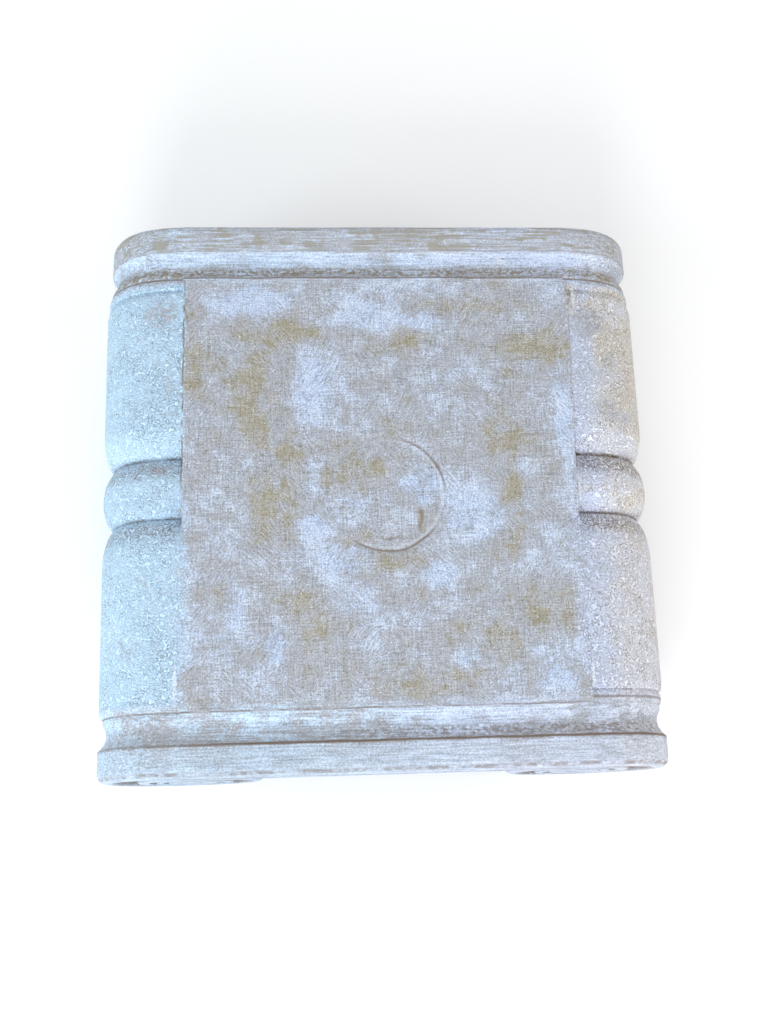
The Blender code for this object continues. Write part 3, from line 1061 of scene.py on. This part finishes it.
        # Dark lines along the creases, partly brown grime and partly painted shade.
        near_crease = self.stripe(bent, -RIM_START, 0.0017)
        near_crease = self.times(near_crease, self.ramp(x, -0.21, -0.09, 0.45, 0.9))
        fine_line = self.times(patchy, self.ramp(x, 0.14, 0.17, 0.7, 0.2))
        fine_line = self.times(self.stripe(bent, -COVE_START, 0.0011), fine_line)
        right_line = self.stripe(bent, -COVE_START + 0.0045, 0.0016)
        right_line = self.times(right_line, self.ramp(x, 0.158, 0.164, 0.0, 0.6))
        far_crease = self.times(self.stripe(bent, COVE_START, 0.0014), 0.7)
        far_arris = self.times(self.stripe(bent, RIM_START, 0.0014), patchy, 0.4)
        lines = self.most(near_crease, fine_line, right_line, far_crease, far_arris)

        # Dark clots on the hollows' slopes that face the back: grime, and painted shade there.
        far_back = self.stripe(bent, COVE_START + 0.006, 0.008)
        near_back = self.stripe(bent, -RIM_START + 0.006, 0.007)
        clots = self.plus(self.noise(self.place, CLOT_WAVES, 2.0), (0.5, self.along), (0.6, middle))
        dirt_and_shade = self.times(self.most(far_back, near_back), self.ramp(clots, -0.05, 0.08))
        near_dirt_and_shade = self.times(dirt_and_shade, self.ramp(y, 0.1, -0.1))
        near_dirt_and_shade = self.times(near_dirt_and_shade, self.ramp(x, -0.13, 0.05, 0.10, 0.60))
        lines = self.times(self.most(lines, near_dirt_and_shade), self.on_block)
        far_dirt_and_shade = self.times(dirt_and_shade, self.on_block, self.ramp(y, -0.1, 0.1, 0.0, 0.85))
        colour = self.mix(far_dirt_and_shade, colour, COVE_DIRT_AND_SHADE)

        streaks = self.plus(self.strokes(self.place, 0.050, 0.0022), (1.3, middle), (0.5, grain))
        streaks = self.times(self.ramp(streaks, -0.01, 0.10), self.rim)
        streaks = self.times(streaks, self.ramp(y, 0.200, 0.206, 0.10, 0.85))
        streaks = self.times(streaks, self.on_block, self.other(self.front_facing))
        colour = self.mix(streaks, colour, STREAK)

        groove = BELT_WIDTH / 2
        grooves = self.most(self.stripe(bent, groove, 0.0022), self.stripe(bent, -groove, 0.0018))
        # Painted shade with brown pebbles on the belt's back side and on the near roll's end that faces
        # it.
        shaded_belt_back = self.stripe(bent, 0.017, 0.013)
        shaded_belt_back = self.most(shaded_belt_back, self.stripe(bent, -groove - 0.010, 0.009))
        pebbled = self.ramp(self.plus(self.size(self.pebble), (0.7, grain)), 0.12, 0.0)
        belt_dirt_and_shade = self.plus((0.72, self.times(grooves, patchy)), (0.7, self.times(shaded_belt_back, pebbled)))
        belt_dirt_and_shade = self.times(belt_dirt_and_shade, self.is_roll, self.ramp(x, -0.1, 0.1, 0.60, 0.95), self.on_block)
        face_arris = self.stripe(bent, -DEPTH / 2 + 0.003, 0.0022)
        face_arris = self.times(face_arris, self.ramp(self.patchy_middle, -0.12, 0.12), 0.6)
        sunk = self.times(self.hollow, self.ramp(self.small_grain, -0.40, 0.05), 0.9)
        return self.mix(self.most(lines, belt_dirt_and_shade, face_arris, sunk), colour, BROWN)

    def draw_panel_edge(self, colour):
        """Brown line along the panel's left and right edges, stronger at the left and fainter towards
        the front.
        """
        edge_x = self.plus(self.x, (-PANEL_SKEW, self.y), (0.0030, self.small))
        left = self.times(self.stripe(edge_x, -PANEL_WIDTH / 2 - 0.0008, 0.0013), 0.75)
        right = self.times(self.stripe(edge_x, PANEL_WIDTH / 2 + 0.0008, 0.0012), 0.35)
        fade = self.ramp(self.plus(self.y, (0.2, self.middle)), -0.06, 0.02, 0.12, 1.0)
        broken = self.ramp(self.patchy_middle, -0.22, 0.05)
        in_panel = self.ramp(self.size(self.y), COVE_START, COVE_START - 0.004)
        on_top = self.ramp(self.z, HEIGHT - 0.012, HEIGHT - 0.008)
        edge = self.times(self.most(left, right), fade, broken, in_panel, on_top)
        return self.mix(edge, colour, EDGE_BROWN)

    def draw_marks(self, colour):
        """Painted highlight inside the ring, brown scars, and white marks at the panel's edge."""
        # Painted highlight along the inside of the ring, on its right side.
        flat = self.scaled(self.place, (1.0, 1.0, 20.0), 0.0, (*RING_CENTRE, HEIGHT))
        reach = self.plus(self.length(flat), (0.0020, self.small))
        painted_ring_highlight = self.stripe(reach, RING_RADIUS - RING_WIDTH * 1.5, 0.0016)
        painted_ring_highlight = self.times(painted_ring_highlight, self.ramp(self.plus(-RING_CENTRE[0], self.x), -0.034, 0.01))
        colour = self.mix(self.times(painted_ring_highlight, 0.22), colour, SPECK_AND_HIGHLIGHT)
        torn = self.shifted(self.place, TORN_WAVES, 2.0, 0.012)
        scars = self.times(self.patches(torn, SCARS), self.ramp(self.small_grain, -0.25, 0.05))
        colour = self.mix(self.times(scars, 0.6), colour, BROWN)
        edge_white_marks = self.times(self.patches(self.place, EDGE_WHITE_MARKS), self.ramp(self.small_grain, -0.3, 0.0))
        return self.mix(self.times(edge_white_marks, 0.75), colour, SPECK_AND_HIGHLIGHT)

    def raise_relief(self, speckled):
        """Bump of the brush marks and specks, and of the rolls' pebbles."""
        height = self.plus((0.55, self.brushed), (0.5, self.grain), (0.5, speckled))
        ridged = self.plus(self.ramp(self.size(self.pebble), 0.0, 0.14), (0.4, self.grain))
        height = self.mix_value(self.is_roll, height, ridged)
        inputs = (("Strength", 0.75), ("Distance", 0.0007), ("Height", height))
        bump = self.add("ShaderNodeBump", inputs)
        self.plug(self.shader.inputs["Normal"], bump.outputs[0])


# Light, floor and camera


def make_floor():
    """White floor just under the foot."""
    mesh = bpy.data.meshes.new("floor")
    half = 4.0
    low = -0.0002
    corners = [(-half, -half, low), (half, -half, low), (half, half, low), (-half, half, low)]
    mesh.from_pydata(corners, [], [(0, 1, 2, 3)])
    floor = bpy.data.objects.new("floor", mesh)
    white = bpy.data.materials.new("floor_white")
    white.use_nodes = True
    shader = white.node_tree.nodes["Principled BSDF"]
    shader.inputs["Base Color"].default_value = (0.92, 0.92, 0.92, 1.0)
    shader.inputs["Roughness"].default_value = 0.9
    shader.inputs["Emission Color"].default_value = (1.0, 1.0, 1.0, 1.0)
    shader.inputs["Emission Strength"].default_value = 0.12
    floor.data.materials.append(white)
    bpy.context.scene.collection.objects.link(floor)


def add_light(name, place, size, power, colour):
    """Square soft light that looks at the capital."""
    data = bpy.data.lights.new(name, "AREA")
    data.size = size
    data.energy = power
    data.color = colour
    light = bpy.data.objects.new(name, data)
    light.location = place
    light.rotation_mode = "QUATERNION"
    light.rotation_quaternion = Vector(place).to_track_quat("Z", "Y")
    light.visible_camera = False
    bpy.context.scene.collection.objects.link(light)


def make_light():
    """Bright room with a cool lamp at the left and warm ones at the back and the right."""
    world = bpy.data.worlds.new("soft_room")
    world.use_nodes = True
    background = world.node_tree.nodes["Background"]
    background.inputs["Color"].default_value = (0.93, 0.96, 1.0, 1.0)
    background.inputs["Strength"].default_value = 0.55
    bpy.context.scene.world = world
    add_light("front", (-0.4, -2.0, 1.3), 1.0, 28.0, (0.98, 0.985, 1.0))
    add_light("left", (-1.9, -0.6, 1.0), 1.0, 18.0, (0.83, 0.96, 1.0))
    add_light("back", (0.3, 2.0, 1.3), 1.4, 9.0, (1.0, 0.96, 0.91))
    add_light("right", (1.9, -0.3, 1.1), 1.2, 14.0, (1.0, 0.96, 0.90))


def make_camera():
    """Camera of the photo, as fitted to the outline and the lines of the top."""
    focal_pixels = 1260.63
    photo_height = 1024
    sensor = 36.0
    data = bpy.data.cameras.new("camera")
    data.sensor_fit = "VERTICAL"
    data.sensor_height = data.sensor_width = sensor
    data.lens = focal_pixels / photo_height * sensor
    data.clip_start = 0.05
    camera = bpy.data.objects.new("camera", data)
    camera.location = (-0.0717, -0.2812, 1.1316)
    camera.rotation_euler = (0.25723, -0.06522, -0.03287)
    bpy.context.scene.collection.objects.link(camera)
    bpy.context.scene.camera = camera


def main():
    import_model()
    surface = make_surface()
    surface.data.materials.append(Limewash().material)
    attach(surface, "root")
    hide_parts("capital")
    make_floor()
    make_light()
    make_camera()
    bpy.context.scene.view_settings.view_transform = "Standard"
    print("triangles", sum(len(face.vertices) - 2 for face in surface.data.polygons))


main()
